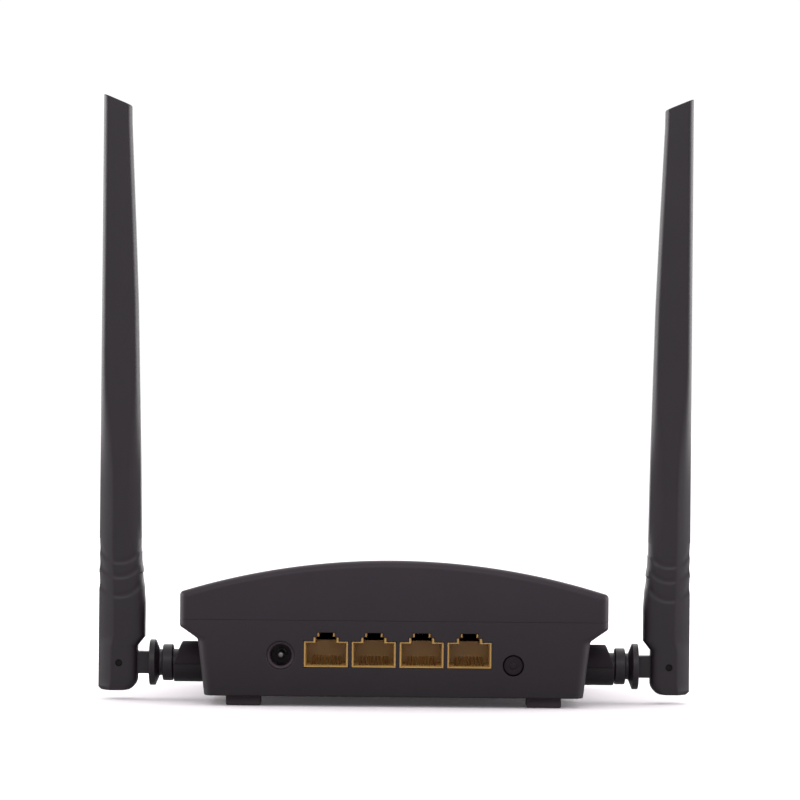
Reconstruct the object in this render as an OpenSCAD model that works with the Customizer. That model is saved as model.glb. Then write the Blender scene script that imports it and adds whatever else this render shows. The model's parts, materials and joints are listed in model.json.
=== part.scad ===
// Wireless router with two antennas that swivel and fold at its sides.
// Frame: +Z up, the rear panel with the sockets faces -Y, origin on the floor under the
// middle of the body. The antenna at +X is drawn; the one at -X is its mirror image.

/* [Body] */
// Width over the cover and the flared rim
body_w = 125.4; // [123:0.2:127]
// Depth from the rear panel to the front
body_d = 88; // [87:0.5:92]
// Width of the lower shell just under the flared rim
shell_w = 115; // [113:0.2:116]
// Width of the lower shell at its underside
base_w = 111; // [109.4:0.2:112]
// How far the lower shell's front wall stands back, just under the rim
front_set_back = 3; // [2:0.5:3.5]
// Thickness of the side, rear and bottom walls
wall = 1.8; // [1.6:0.1:2]
// Thickness of the domed roof
roof = 2; // [1.6:0.1:2.4]

/* [Heights] */
// Height of the underside above the floor
foot_h = 3; // [2.6:0.1:3.2]
// Height where the lower shell starts to flare out into its rim
flare_z = 19.5; // [19.1:0.1:19.9]
// Height where the flare reaches the full width
rim_z = 23.2; // [22.9:0.1:23.5]
// Height of the seam between lower shell and cover
seam_z = 25.2; // [25:0.1:25.4]
// Height of the cover's side corners at the rear panel
shoulder_z = 33.4; // [33:0.1:33.8]
// Height of the crown at the rear panel
crown_z = 43; // [42:0.1:44]
// Fall of the roof from rear to front, in degrees
roof_slope = 4; // [3.5:0.1:4.2]

/* [Circuit board] */
// Height of the board's upper face
board_z = 8.6; // [8.5:0.05:8.7]
// Thickness of the board
board_t = 1.6; // [1.2:0.2:1.6]
// Width of the board
board_w = 95; // [94:0.5:96]

/* [Rear sockets] */
// Pitch of the four network sockets
port_pitch = 13.97; // [13.95:0.01:13.99]
// Place of the sockets' middle along X
port_mid_x = 1.1; // [0.6:0.1:1.6]
// Place of the power inlet along X
jack_x = -33.1; // [-33.6:0.1:-32.8]
// Height of the power inlet's axis
jack_z = 14.9; // [14.7:0.1:15.2]
// Radius of the power inlet's centre pin
jack_pin_r = 1; // [1:0.05:1.25]
// Radius of the power inlet's bore
jack_bore_r = 3.15; // [3:0.05:3.25]
// Place of the button along X
button_x = 34.9; // [34.5:0.1:35.5]
// Height of the button's axis
button_z = 12.5; // [12.4:0.05:12.7]
// Radius of the button's hole
button_hole_r = 3.1; // [3:0.05:3.2]

/* [Antennas] */
// Height of the swivel and fold axes
stem_z = 11; // [10.9:0.1:11.2]
// Place of the swivel axis along Y
stem_y = -22; // [-23:0.5:-18]
// Distance of the fold axis from the middle plane
pivot_x = 81.7; // [81.5:0.1:82]
// Radius of the stem where it turns in its socket
stem_r = 4; // [3.8:0.1:4]
// Radial running clearance of stems and hinge pins
running = 0.05; // [0.03:0.01:0.08]
// Height of the antenna's tip above the fold axis
blade_h = 169.3; // [150:0.5:180]
// Thickness of the antenna at the knuckle
blade_t = 9; // [8.8:0.1:9.4]
// Thickness of the antenna at its tip
tip_t = 6; // [5.8:0.1:6.4]

/* [Hidden] */
$fn = 64;

rear_y = -body_d / 2;
front_y = body_d / 2;
panel_y = rear_y + wall;      // inner face of the rear panel
floor_z = foot_h + wall;      // inner face of the bottom
far = 100;                    // reach of cutting shapes past the body
seam_gap = 0.1;               // gap between fitted case parts

// case outline
rear_corner_r = 2.4;
front_corner_r = 8;
low_corner_r = 3.2;
base_set_back = 1.2;          // extra set-back of the front wall at the underside
lip_h = 0.8;
lip_t = 0.8;

// the roof is part of a cylinder whose axis falls to the front
crown_rise = crown_z - shoulder_z;
dome_r = (pow(body_w / 2, 2) + pow(crown_rise, 2)) / (2 * crown_rise);

// screw pillars, one over each foot
pillar_x = 44;
pillar_rear_y = -37;
pillar_front_y = 34;
PILLARS = [for (x = [-pillar_x, pillar_x], y = [pillar_rear_y, pillar_front_y]) [x, y]];
pillar_r = 3.2;
pillar_base_r = 4.2;
pillar_join_z = 15.6;
screw_r = 1.25;
screw_head_r = 2.6;
screw_seat_z = 6.2;
foot_size = [10.2, 8];
foot_recess = 0.7;

// circuit board
board_rear_y = rear_y + 2.5;
board_front_y = pillar_front_y - pillar_base_r - 0.5;
board_notch = [pillar_x - pillar_base_r - 0.5, pillar_rear_y + pillar_base_r + 0.5];
BOARD_SCREWS = [for (x = [-42, 42]) [x, 2]];
post_r = 2.8;

// network sockets: outer block, plug cavity and the window in the panel
housing_w = port_pitch - 0.17;
housing_top_z = 23;
housing_d = 15.6;
housing_front_y = panel_y + seam_gap;
cavity_d = 12.4;
cavity_mid_z = 15.35;
CAVITY = [11.8, 6.6, 6, 8.45, 4, 9.65];    // width, height, then latch steps: width, top
WINDOW = [13.1, 7.7, 7.6, 8.9, 5.3, 10.2];
NOSE = [for (size = WINDOW) size - 0.2];   // the socket's front, set into the window
nose_y = rear_y + 0.3;
wire_r = 0.23;
wire_pitch = 1.02;
wire_count = 8;

// power inlet and button
jack_w = 9;
jack_top_z = 19.6;
jack_d = 14;
jack_bore_d = 10;
jack_hole_r = 3.95;
jack_chamfer = 0.45;
jack_root_r = jack_pin_r + 0.3;   // the pin's thicker root, held in the housing
button_r = button_hole_r - 0.3;
button_flange_r = 3.5;
button_face_y = rear_y + 0.5;
plunger_r = 1.7;
switch_front_y = rear_y + 6.8;

// status lights
led_y = 25.5;
led_pitch = 8;
led_count = 5;
guide_r = 1.1;
guide_bar_z = 11;

// antenna socket and stem, distances from the middle plane
socket_end_x = 65.5;
socket_r = 5.7;
cap_r = 6.4;
cap_slant = 2.4;              // the cap's end leans in by this much at its top
cap_half_w = 6.6;
collar_x = socket_end_x + 0.2;
collar_end_x = 68.8;
collar_r = 5.4;
neck_r = 3.9;
neck_end_x = 69.7;
flange_x = 70.9;
flange_end_x = 72.7;
flange_r = 6.8;
tongue_t = 4.2;
tongue_r = 3.28;
retainer_r = 5.3;
retainer_x = [51.4, 53];
lead_r = 0.57;
lead_bore_r = 1.25;
lead_pad_x = 38;
lead_bend_r = 2;
lead_end_x = 62;

// antenna blade, measured from the fold axis: x outwards, z upwards
blade_out = 6.2;              // outer edge
knuckle_in = 5.3;             // inner edge beside the fold axis
knuckle_low = 8.2;            // below the fold axis
knuckle_corner_r = 3.6;
shoulder_in = 7.4;            // inner edge at its widest
BLADE = [                     // from the outer foot, up to the tip and down the inner edge
    [blade_out - 1, -knuckle_low], [blade_out, 1 - knuckle_low],
    [blade_out, blade_h], [-2.2, blade_h - 3.5],
    [-4.6, blade_h - 61.7], [-5.7, 62.6], [-6.1, 36.6], [-shoulder_in, 17.6],
    [-shoulder_in, 7.6], [-knuckle_in, 4.9],
    [-knuckle_in, knuckle_corner_r - knuckle_low],
    [knuckle_corner_r - knuckle_in, -knuckle_low]
];
GRIP_GROOVES = [20, 25.7, 30.1];   // lowest points of the curved grip grooves
groove_r = 6.9;
groove_w = 0.9;
groove_d = 0.5;
fork_gap = 0.2;
fork_w = tongue_t + 2 * fork_gap;
fork_r = tongue_r + 0.25;
hinge_pin_r = 1;
hollow_t = 4;                 // thickness of the space for the radiator
hollow_x = [-0.8, 4.6];
hollow_z = [8, blade_h - 7];
radiator_x = 1.9;

// ---------- shared shapes ----------
module box(low, high) translate(low) cube(high - low);
module rod_x(x0, x1, r1, r2 = undef)
    translate([x0, stem_y, stem_z]) rotate([0, 90, 0])
        cylinder(h = x1 - x0, r1 = r1, r2 = is_undef(r2) ? r1 : r2);
module rod_y(x, z, y0, y1, r1, r2 = undef)
    translate([x, y0, z]) rotate([-90, 0, 0])
        cylinder(h = y1 - y0, r1 = r1, r2 = is_undef(r2) ? r1 : r2);
module rod_z(at, z0, z1, r) translate([at[0], at[1], z0]) cylinder(h = z1 - z0, r = r);
module extrude_y(y0, y1)
    translate([0, y1, 0]) rotate([90, 0, 0]) linear_extrude(y1 - y0) children();
module extrude_x(x0, x1)
    translate([x0, 0, 0]) rotate([90, 0, 90]) linear_extrude(x1 - x0) children();
module both_sides() { children(); mirror([1, 0, 0]) children(); }
module on_left() mirror([1, 0, 0]) children();
module chip(mid, size, z = board_z)
    box([mid[0] - size[0] / 2, mid[1] - size[1] / 2, z],
        [mid[0] + size[0] / 2, mid[1] + size[1] / 2, z + size[2]]);

// rectangle with one radius at its rear corners and another at its front corners
module rounded_plan(w, y0, y1, rear_r, front_r) {
    polygon([
        [-w / 2 + rear_r, y0], [w / 2 - rear_r, y0], [w / 2, y0 + rear_r],
        [w / 2, y1 - front_r], [w / 2 - front_r, y1], [-w / 2 + front_r, y1],
        [-w / 2, y1 - front_r], [-w / 2, y0 + rear_r]
    ]);
    for (side = [-1, 1]) {
        translate([side * (w / 2 - rear_r), y0 + rear_r]) circle(r = rear_r);
        translate([side * (w / 2 - front_r), y1 - front_r]) circle(r = front_r);
    }
}
module rim_plan(inset)
    rounded_plan(body_w - 2 * inset, rear_y + inset, front_y - inset,
        max(rear_corner_r - inset, 0.5), front_corner_r - inset);
module low_plan(inset)
    rounded_plan(shell_w - 2 * inset, rear_y + inset, front_y - front_set_back - inset,
        low_corner_r - inset, front_corner_r - 2 - inset);

// the lower shell's outline seen from behind and from the side, and its solid form
module shell_rear_outline(inset) {
    lift = 0.6 * inset;
    right = [
        [base_w / 2 - inset, foot_h + inset], [shell_w / 2 - inset, flare_z + lift],
        [body_w / 2 - inset, rim_z + lift], [body_w / 2 - inset, seam_z + inset]
    ];
    polygon(concat(right, [for (i = [3:-1:0]) [-right[i][0], right[i][1]]]));
}
module shell_side_outline(inset) {
    lift = 0.6 * inset;
    polygon([
        [rear_y + inset, foot_h + inset],
        [front_y - front_set_back - base_set_back - inset, foot_h + inset],
        [front_y - front_set_back - inset, flare_z + lift], [front_y - inset, rim_z + lift],
        [front_y - inset, seam_z + inset], [rear_y + inset, seam_z + inset]
    ]);
}
module shell_form(inset) intersection() {
    extrude_y(-far, far) shell_rear_outline(inset);
    extrude_x(-far, far) shell_side_outline(inset);
    union() {
        linear_extrude(flare_z + 0.6 * inset) low_plan(inset);
        translate([0, 0, flare_z + 0.6 * inset]) linear_extrude(far) rim_plan(inset);
    }
}
module shell_skin() difference() { shell_form(0); shell_form(wall); }
module dome(inset)
    translate([0, rear_y, crown_z - dome_r / cos(roof_slope)])
        rotate([-90 - roof_slope, 0, 0]) translate([0, 0, -far])
            cylinder(h = 2 * far + body_d, r = dome_r - inset, $fn = 256);

// outline of a network socket: a rectangle with a two-step latch notch above it
module port_outline(size) {
    low = cavity_mid_z - size[1] / 2;
    right = [
        [size[0] / 2, low], [size[0] / 2, low + size[1]], [size[2] / 2, low + size[1]],
        [size[2] / 2, low + size[3]], [size[4] / 2, low + size[3]], [size[4] / 2, low + size[5]]
    ];
    polygon(concat(right, [for (i = [5:-1:0]) [-right[i][0], right[i][1]]]));
}
function port_x(i) = port_mid_x + (i - 1.5) * port_pitch;
module at_port(i) translate([port_x(i), 0, 0]) children();

// gap in the shell's side wall that the socket cap closes
module cap_space(gap)
    box([retainer_x[1] - 3, stem_y - cap_half_w + gap, stem_z + gap],
        [body_w / 2 + 1, stem_y + cap_half_w - gap, seam_z - gap]);

// ---------- case ----------
module lower_shell() color([0.2, 0.18, 0.2]) difference() {
    union() {
        difference() {
            shell_skin();
            both_sides() cap_space(0);
        }
        both_sides() intersection() {
            rod_x(retainer_x[1] + 1.5, socket_end_x, socket_r);
            box([0, -far, 0], [far, far, stem_z]);
        }
        for (p = PILLARS) {
            rod_z(p, floor_z - wall / 2, pillar_join_z - seam_gap, pillar_r);
            rod_z(p, floor_z - wall / 2, screw_seat_z + 1.6, pillar_base_r);
        }
        for (p = BOARD_SCREWS) rod_z(p, floor_z - wall / 2, board_z - board_t, post_r);
    }
    both_sides() rod_x(retainer_x[0], socket_end_x + 1, stem_r + running);
    for (p = PILLARS) {
        rod_z(p, 0, pillar_join_z + 1, screw_r + 0.35);
        rod_z(p, 0, screw_seat_z, screw_head_r + 0.3);
        chip(p, [foot_size[0] + 0.4, foot_size[1] + 0.4, 2 * foot_recess], foot_h - foot_recess);
    }
    for (p = BOARD_SCREWS) rod_z(p, foot_h + 1, board_z, 1.1);
    for (i = [0:3]) at_port(i) extrude_y(rear_y - 1, panel_y + 1) port_outline(WINDOW);
    rod_y(jack_x, jack_z, rear_y - 1, panel_y + 1, jack_hole_r);
    rod_y(jack_x, jack_z, rear_y - 0.01, rear_y + jack_chamfer,
        jack_hole_r + jack_chamfer, jack_hole_r);
    rod_y(button_x, button_z, rear_y - 1, panel_y + 1, button_hole_r);
    for (x = [-27:4.5:27], y = [-14, 8]) chip([x, y], [2, 16, 2 * wall], foot_h - 1);
    chip([0, 27.5], [46, 11, 1.2], foot_h - 1);
}
module top_cover() color([0.22, 0.2, 0.22]) difference() {
    union() {
        difference() {
            intersection() {
                dome(0);
                translate([0, 0, seam_z]) linear_extrude(far) rim_plan(0);
            }
            intersection() {
                dome(roof);
                translate([0, 0, seam_z - 1]) linear_extrude(far) rim_plan(wall);
            }
        }
        translate([0, 0, seam_z - lip_h]) linear_extrude(lip_h + 1) difference() {
            rim_plan(wall + 0.15);
            rim_plan(wall + 0.15 + lip_t);
        }
        translate([0, 0, seam_z]) linear_extrude(1) difference() {
            rim_plan(wall / 2);
            rim_plan(wall + 0.15 + lip_t);
        }
        intersection() {
            dome(roof / 2);
            union() for (p = PILLARS) rod_z(p, pillar_join_z, crown_z, pillar_r);
        }
    }
    for (p = PILLARS) rod_z(p, 0, pillar_join_z + 10, screw_r + running);
    for (i = [0:led_count - 1]) rod_z([led_x(i), led_y], 20, far, guide_r + 0.1);
}
module socket_cap() color([0.08, 0.07, 0.08]) difference() {
    union() {
        intersection() { shell_skin(); cap_space(seam_gap); }
        intersection() {
            rod_x(retainer_x[1] + 1.8, socket_end_x, cap_r);
            extrude_y(-far, far) polygon([
                [0, stem_z + seam_gap], [socket_end_x, stem_z + seam_gap],
                [socket_end_x - cap_slant, stem_z + cap_r], [0, stem_z + cap_r]
            ]);
        }
    }
    rod_x(retainer_x[0], socket_end_x + 1, stem_r + running);
}
module rubber_feet() color([0.06, 0.06, 0.06])
    for (p = PILLARS) chip(p, [foot_size[0], foot_size[1], foot_h + foot_recess - 0.1], 0);
module case_screws() color("silver") for (p = PILLARS) difference() {
    union() {
        rod_z(p, screw_seat_z - 1.6, screw_seat_z, screw_head_r);
        rod_z(p, screw_seat_z - 0.1, pillar_join_z + 9, screw_r);
    }
    for (turn = [0, 90]) translate([p[0], p[1], screw_seat_z - 1.6]) rotate(turn)
        cube([2.6, 0.6, 1.6], center = true);
}
module rating_label() color("white") chip([0, 27.5], [45, 10, 0.15], foot_h + 0.04);

// ---------- circuit board ----------
module main_board() color("darkgreen") difference() {
    box([-board_w / 2, board_rear_y, board_z - board_t], [board_w / 2, board_front_y, board_z]);
    both_sides() box([board_notch[0], -far, 0], [far, board_notch[1], far]);
    for (p = BOARD_SCREWS) rod_z(p, 0, far, 1.3);
}
module board_screws() color("silver") for (p = BOARD_SCREWS) {
    rod_z(p, board_z, board_z + 1.3, 2.2);
    rod_z(p, foot_h + 1.2, board_z + 0.1, 1.05);
}
module port_housing(i) color([0.56, 0.45, 0.19]) at_port(i) difference() {
    union() {
        box([-housing_w / 2, housing_front_y, board_z],
            [housing_w / 2, housing_front_y + housing_d, housing_top_z]);
        extrude_y(nose_y, housing_front_y + 0.1) port_outline(NOSE);
    }
    extrude_y(rear_y, housing_front_y + cavity_d) port_outline(CAVITY);
    // the latch notch runs on through the block's rear
    extrude_y(rear_y, far) intersection() {
        port_outline(CAVITY);
        translate([-far, cavity_mid_z + CAVITY[1] / 2]) square(2 * far);
    }
    // recess under the contact wires' anchored ends
    box([-4.4, housing_front_y + 0.9, cavity_mid_z - CAVITY[1] / 2 - 0.6],
        [4.4, housing_front_y + cavity_d, cavity_mid_z]);
}
module port_contacts(i) color("gold") at_port(i) {
    low = cavity_mid_z - CAVITY[1] / 2 - 0.3;
    front = housing_front_y + 1.4;
    bend_y = housing_front_y + 3;
    back_y = housing_front_y + cavity_d - 0.3;
    for (k = [0:wire_count - 1]) translate([(k - (wire_count - 1) / 2) * wire_pitch, 0, 0])
        extrude_x(-wire_r, wire_r) polygon([
            [front, low], [bend_y, low], [back_y, low + 1.9], [back_y, low + 2.3],
            [bend_y - 0.1, low + 2 * wire_r], [front, low + 2 * wire_r]
        ]);
}
module dc_jack_housing() color([0.1, 0.1, 0.1]) difference() {
    box([jack_x - jack_w / 2, housing_front_y, board_z],
        [jack_x + jack_w / 2, housing_front_y + jack_d, jack_top_z]);
    rod_y(jack_x, jack_z, rear_y, housing_front_y + jack_bore_d, jack_bore_r);
    rod_y(jack_x, jack_z, housing_front_y - 0.01, housing_front_y + 0.5,
        jack_bore_r + 0.5, jack_bore_r);
    rod_y(jack_x, jack_z, rear_y, far, jack_root_r);
    box([jack_x - 1.3, housing_front_y + 1.5, jack_z - jack_bore_r - 0.9],
        [jack_x + 1.3, housing_front_y + jack_bore_d, jack_z - 2]);
}
module dc_jack_pin() color("silver") {
    rod_y(jack_x, jack_z, housing_front_y + 0.6, housing_front_y + 1, 0.6, jack_pin_r);
    rod_y(jack_x, jack_z, housing_front_y + 1, housing_front_y + jack_bore_d, jack_pin_r);
    rod_y(jack_x, jack_z, housing_front_y + jack_bore_d, housing_front_y + jack_d, jack_root_r);
}
module dc_jack_spring() color("silver") extrude_x(jack_x - 1, jack_x + 1) polygon([
    [housing_front_y + 1.7, jack_z - 3.95], [housing_front_y + jack_bore_d, jack_z - 3.95],
    [housing_front_y + jack_bore_d, jack_z - 3.65], [housing_front_y + 5.5, jack_z - 2.9],
    [housing_front_y + 1.7, jack_z - 3.65]
]);
module reset_button() color([0.05, 0.05, 0.05]) {
    rod_y(button_x, button_z, button_face_y, panel_y + 0.3, button_r);
    rod_y(button_x, button_z, panel_y + 0.3, panel_y + 1.3, button_flange_r);
    rod_y(button_x, button_z, panel_y + 1.2, switch_front_y - 1.4, 1.5);
    rod_y(button_x, button_z, button_face_y - 0.2, button_face_y + 0.1, 1);
}
module switch_plunger() color("gray")
    rod_y(button_x, button_z, switch_front_y - 1.4, switch_front_y + 1, plunger_r);
module reset_switch() color("silver") difference() {
    box([button_x - 3, switch_front_y, board_z],
        [button_x + 3, switch_front_y + 3.6, button_z + 3]);
    rod_y(button_x, button_z, switch_front_y - 1, switch_front_y + 1.7, plunger_r + 0.2);
}
module processor_chip() color([0.1, 0.1, 0.1]) chip([4, -3], [13, 13, 1.3]);
module heat_sink() color("lightgray") {
    chip([4, -3], [15, 15, 1.5], board_z + 1.3);
    for (k = [0:4]) chip([4 - 6.9 + k * 3.45, -3], [1.2, 15, 7], board_z + 1.3);
}
module memory_chip() color([0.1, 0.1, 0.1]) chip([23, -2], [8, 12.5, 1.1]);
module flash_chip() color([0.1, 0.1, 0.1]) chip([23, 13], [5.2, 5.2, 1.6]);
module crystal() color("silver") chip([12, 10], [5, 3.2, 1]);
module rf_shield() color("silver") difference() {
    chip([-19, 9], [20, 17, 2.6]);
    chip([-19, 9], [19.4, 16.4, 2.3]);
}
module lan_transformers() color([0.12, 0.12, 0.12])
    for (i = [0, 2]) chip([port_mid_x + (i - 1) * port_pitch, -20], [20, 9, 5.2]);
module capacitors() color([0.15, 0.2, 0.35])
    for (p = [[-42, -13], [-34, -13], [-34, -5]]) rod_z(p, board_z, board_z + 8.5, 3.1);
module power_inductor() color([0.3, 0.3, 0.3]) chip([-38, 12], [7, 7, 3.2]);
module board_passives() color("tan") {
    for (k = [0:7]) chip([-6 + k * 3, -11.8], [0.8, 1.6, 0.5]);
    for (k = [0:5]) chip([13.8, -8 + k * 2.6], [1.6, 0.8, 0.5]);
    for (k = [0:5]) chip([-5 + k * 3, 7.2], [0.8, 1.6, 0.5]);
    for (side = [-1, 1], k = [0:3]) chip([side * (34 + k * 2.4), 22], [0.8, 1.6, 0.5]);
}
function led_x(i) = (i - (led_count - 1) / 2) * led_pitch;
module status_leds() color("white")
    for (i = [0:led_count - 1]) chip([led_x(i), led_y], [1.6, 1.6, 0.8]);
module light_pipe() color([0.85, 0.88, 0.9]) {
    intersection() {
        dome(0.05);
        union() for (i = [0:led_count - 1])
            rod_z([led_x(i), led_y], guide_bar_z - 0.8, crown_z, guide_r);
    }
    chip([0, led_y], [led_pitch * (led_count - 1) + 7, 2.4, 1.6], guide_bar_z);
    both_sides() chip([led_pitch * (led_count - 1) / 2 + 2.6, led_y], [1.6, 2.4, 3], board_z);
}

// ---------- antenna leads and antennas, drawn at +X ----------
module coax_lead() color([0.12, 0.12, 0.12]) {
    rod_x(lead_pad_x + lead_bend_r, lead_end_x, lead_r);
    translate([lead_pad_x + lead_bend_r, stem_y, stem_z - lead_bend_r]) rotate([90, 0, 180])
        rotate_extrude(angle = 90) translate([lead_bend_r, 0]) circle(r = lead_r);
    rod_z([lead_pad_x, stem_y], board_z, stem_z - lead_bend_r, lead_r);
}
module antenna_stem() color([0.2, 0.18, 0.2]) difference() {
    union() {
        rod_x(retainer_x[0], retainer_x[1], retainer_r);
        rod_x(retainer_x[1] - 0.1, collar_x, stem_r);
        rod_x(collar_x, collar_end_x, collar_r);
        rod_x(collar_end_x - 0.1, neck_end_x, neck_r);
        rod_x(neck_end_x, flange_x, neck_r, flange_r);
        rod_x(flange_x, flange_end_x, flange_r);
        box([flange_end_x - 0.1, stem_y - tongue_t / 2, stem_z - tongue_r],
            [pivot_x, stem_y + tongue_t / 2, stem_z + tongue_r]);
        rod_y(pivot_x, stem_z, stem_y - tongue_t / 2, stem_y + tongue_t / 2, tongue_r);
    }
    rod_x(retainer_x[0] - 1, pivot_x - 3.4, lead_bore_r);
    box([pivot_x - 5.9, stem_y - lead_bore_r, stem_z],
        [pivot_x - 3.4, stem_y + lead_bore_r, stem_z + far]);
    rod_y(pivot_x, stem_z, stem_y - far, stem_y + far, hinge_pin_r + running);
}
module at_pivot() translate([pivot_x, 0, stem_z]) children();
module blade_form() intersection() {
    at_pivot() extrude_y(stem_y - far, stem_y + far) {
        polygon(BLADE);
        translate([knuckle_corner_r - knuckle_in, knuckle_corner_r - knuckle_low])
            circle(r = knuckle_corner_r);
    }
    at_pivot() extrude_x(-far, far) polygon([
        [stem_y - blade_t / 2, -knuckle_low - 1], [stem_y + blade_t / 2, -knuckle_low - 1],
        [stem_y + blade_t / 2, shoulder_in * 2], [stem_y + tip_t / 2, blade_h],
        [stem_y - tip_t / 2, blade_h], [stem_y - blade_t / 2, shoulder_in * 2]
    ]);
}
module blade_cuts() at_pivot() {
    extrude_y(stem_y - fork_w / 2, stem_y + fork_w / 2) {
        translate([-20, -20]) square([20, 20 + fork_r]);
        translate([-20, -20]) square([20 + fork_r, 20]);
        circle(r = fork_r);
    }
    box([hollow_x[0], stem_y - hollow_t / 2, hollow_z[0]],
        [hollow_x[1], stem_y + hollow_t / 2, hollow_z[1]]);
    box([-4, stem_y - 1.2, fork_r - 0.5], [-0.5, stem_y + 1.2, hollow_z[0] + 4]);
    rod_y(0, 0, stem_y - far, stem_y + far, hinge_pin_r + running);
    for (z = GRIP_GROOVES, side = [-1, 1])
        translate([0, stem_y + side * (blade_t / 2 - groove_d), z + groove_r])
            rotate([90 * -side, 0, 0]) difference() {
                cylinder(h = 5, r = groove_r + groove_w / 2);
                translate([0, 0, -1]) cylinder(h = 7, r = groove_r - groove_w / 2);
                translate([-far, -far * (side > 0 ? 2 : 0) + side * groove_r / 2, -1])
                    cube([2 * far, 2 * far, 7]);
            }
}
module antenna_shell(y0, y1) color([0.2, 0.18, 0.2]) difference() {
    intersection() {
        blade_form();
        box([0, y0, 0], [far, y1, 2 * far]);
    }
    blade_cuts();
}
module antenna_rear_shell() antenna_shell(stem_y - blade_t, stem_y);
module antenna_front_shell() antenna_shell(stem_y, stem_y + blade_t);
module hinge_pin() color("silver")
    rod_y(pivot_x, stem_z, stem_y - blade_t / 2 + 0.5, stem_y + blade_t / 2 - 0.5, hinge_pin_r);
module radiator_sleeve() color("gold") difference() {
    rod_z([pivot_x + radiator_x, stem_y], stem_z + 40, stem_z + 72, 1.9);
    rod_z([pivot_x + radiator_x, stem_y], stem_z, stem_z + 100, 1.5);
}
module radiator_coax() color([0.12, 0.12, 0.12]) {
    rod_z([pivot_x + radiator_x, stem_y], stem_z + 10, stem_z + 73, lead_r);
    rod_z([pivot_x + radiator_x, stem_y], stem_z + 73, stem_z + 104, 0.3);
}

lower_shell();
top_cover();
on_left() socket_cap();  // left_socket_cap
socket_cap();  // right_socket_cap
rubber_feet();
case_screws();
rating_label();
main_board();
board_screws();
port_housing(0);  // wan_port_housing
port_housing(1);  // lan_port_1_housing
port_housing(2);  // lan_port_2_housing
port_housing(3);  // lan_port_3_housing
port_contacts(0);  // wan_port_contacts
port_contacts(1);  // lan_port_1_contacts
port_contacts(2);  // lan_port_2_contacts
port_contacts(3);  // lan_port_3_contacts
dc_jack_housing();
dc_jack_pin();
dc_jack_spring();
reset_button();
switch_plunger();
reset_switch();
processor_chip();
heat_sink();
memory_chip();
flash_chip();
crystal();
rf_shield();
lan_transformers();
capacitors();
power_inductor();
board_passives();
status_leds();
light_pipe();
on_left() coax_lead();  // left_coax_lead
coax_lead();  // right_coax_lead
on_left() antenna_stem();  // left_antenna_stem
on_left() antenna_rear_shell();  // left_antenna_rear_shell
on_left() antenna_front_shell();  // left_antenna_front_shell
on_left() hinge_pin();  // left_hinge_pin
on_left() radiator_sleeve();  // left_radiator_sleeve
on_left() radiator_coax();  // left_radiator_coax
antenna_stem();  // right_antenna_stem
antenna_rear_shell();  // right_antenna_rear_shell
antenna_front_shell();  // right_antenna_front_shell
hinge_pin();  // right_hinge_pin
radiator_sleeve();  // right_radiator_sleeve
radiator_coax();  // right_radiator_coax
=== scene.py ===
"""Looks of the wireless router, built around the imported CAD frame."""

import json
import math

import bmesh
import bpy
import numpy as np
from mathutils import Matrix, Vector

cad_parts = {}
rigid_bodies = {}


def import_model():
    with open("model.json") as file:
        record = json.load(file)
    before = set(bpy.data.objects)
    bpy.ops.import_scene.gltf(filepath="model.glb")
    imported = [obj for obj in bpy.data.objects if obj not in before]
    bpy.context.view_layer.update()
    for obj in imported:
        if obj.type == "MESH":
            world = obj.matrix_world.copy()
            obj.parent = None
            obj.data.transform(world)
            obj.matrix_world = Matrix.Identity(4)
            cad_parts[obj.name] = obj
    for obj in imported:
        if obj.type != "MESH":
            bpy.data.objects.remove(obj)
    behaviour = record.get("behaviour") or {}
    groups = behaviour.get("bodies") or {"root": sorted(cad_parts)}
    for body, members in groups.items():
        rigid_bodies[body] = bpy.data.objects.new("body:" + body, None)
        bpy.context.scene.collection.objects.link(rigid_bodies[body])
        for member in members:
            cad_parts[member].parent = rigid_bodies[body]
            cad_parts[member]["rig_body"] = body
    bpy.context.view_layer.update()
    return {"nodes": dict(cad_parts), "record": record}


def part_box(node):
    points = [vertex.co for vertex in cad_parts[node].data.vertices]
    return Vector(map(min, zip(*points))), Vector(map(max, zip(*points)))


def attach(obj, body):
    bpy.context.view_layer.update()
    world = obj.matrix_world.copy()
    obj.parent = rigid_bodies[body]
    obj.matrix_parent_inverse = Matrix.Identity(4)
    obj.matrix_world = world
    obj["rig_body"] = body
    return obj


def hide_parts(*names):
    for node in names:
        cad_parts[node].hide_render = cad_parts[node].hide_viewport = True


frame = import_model()
NODES = frame["nodes"]
MM = 0.001


# ---------- sizes, in millimetres, from the CAD nodes ----------
def limits(node):
    """Lowest and highest corner of a CAD node."""
    low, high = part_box(node)
    return low / MM, high / MM


cover_low, cover_high = limits("top_cover")
shell_low, shell_high = limits("lower_shell")
stem_low = limits("right_antenna_stem")[0]
pin_low, pin_high = limits("right_hinge_pin")
jack_low, jack_high = limits("dc_jack_housing")
button_low, button_high = limits("reset_button")
board_low, board_high = limits("main_board")

# case
HALF_W = cover_high.x
REAR = cover_low.y
FRONT = cover_high.y
CROWN = cover_high.z
SEAM = shell_high.z
UNDER = shell_low.z
WALL = 1.8
ROOF = 2.0
REAR_CORNER, FRONT_CORNER = 2.4, 8
SHOULDER = CROWN - 9.6
SLOPE = math.radians(4)
DOME_R = (HALF_W**2 + (CROWN - SHOULDER) ** 2) / (2 * (CROWN - SHOULDER))
FLARE_Z, RIM_Z = SEAM - 5.7, SEAM - 2
FLARE_IN, BASE_IN = HALF_W - 57.5, HALF_W - 55.5
# the front wall's set-in below the flare and its further set-in at the base
FLARE_FRONT, BASE_FRONT = 3, 1.2
# below the flare the rear corners are rounder and the front corners tighter
REAR_CORNER_MORE, FRONT_CORNER_LESS = 0.8, 2
LEDGE, LEDGE_GAP = 0.8, 0.15
# the two halves' edges at the seam, as (distance in from the wall, distance from the seam)
SEAM_EDGE = [(0, 0.16), (0.03, 0.06), (0.1, 0.01)]

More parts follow.
